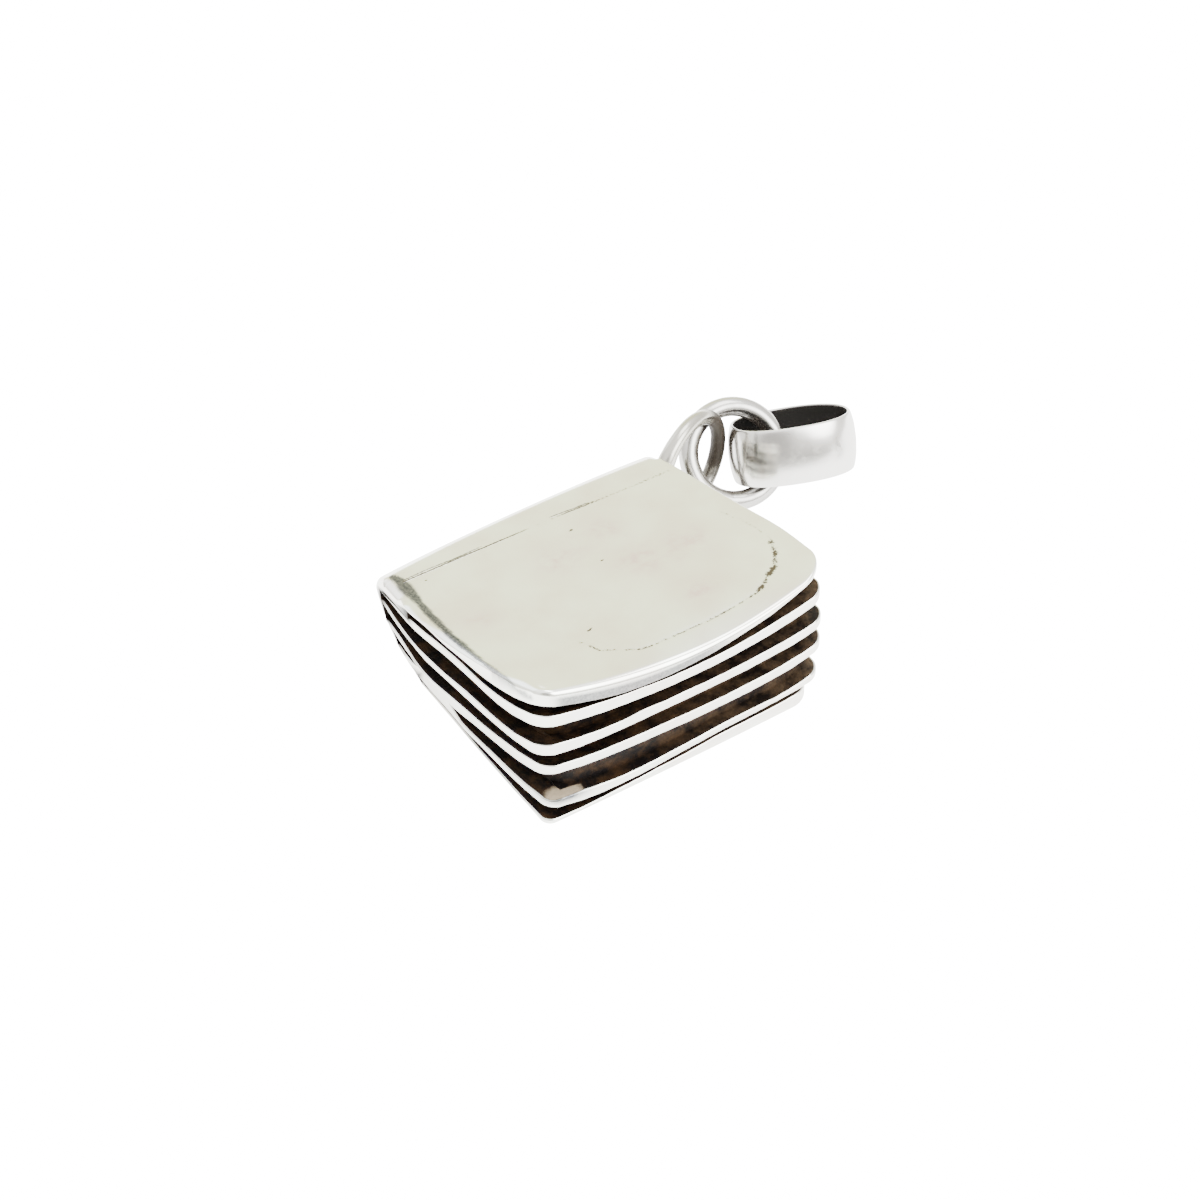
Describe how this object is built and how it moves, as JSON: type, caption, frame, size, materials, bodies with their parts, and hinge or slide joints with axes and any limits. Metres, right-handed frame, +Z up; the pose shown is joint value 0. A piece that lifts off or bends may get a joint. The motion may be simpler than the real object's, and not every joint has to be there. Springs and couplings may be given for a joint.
{
  "type": "book pendant",
  "caption": "Sterling silver pendant in the form of a thick closed book with fanned leaves, a soldered loop, a jump ring and an oval bail for a chain.",
  "frame": {"origin": "on the back cover's flat resting face, midway between the spine and the fore-edge and between the tail and the head edge", "axes": "+X from the spine to the fore-edge, +Y from the tail edge to the head edge where the loop is soldered, +Z up from the back cover to the front cover"},
  "size_m": [0.0184, 0.0294, 0.0096],
  "materials": {
    "cast_silver": "cast sterling silver, covers and leaf edges hand polished, grooves between the leaves oxidised dark brown",
    "ring_silver": "drawn sterling silver wire, tumbled bright, a little worn",
    "bail_silver": "domed sterling silver band, mirror polished outside, dull inside"
  },
  "bodies": {
    "root": {"book": "cast_silver", "jump_ring": "ring_silver", "bail": "bail_silver"}
  },
  "joints": []
}
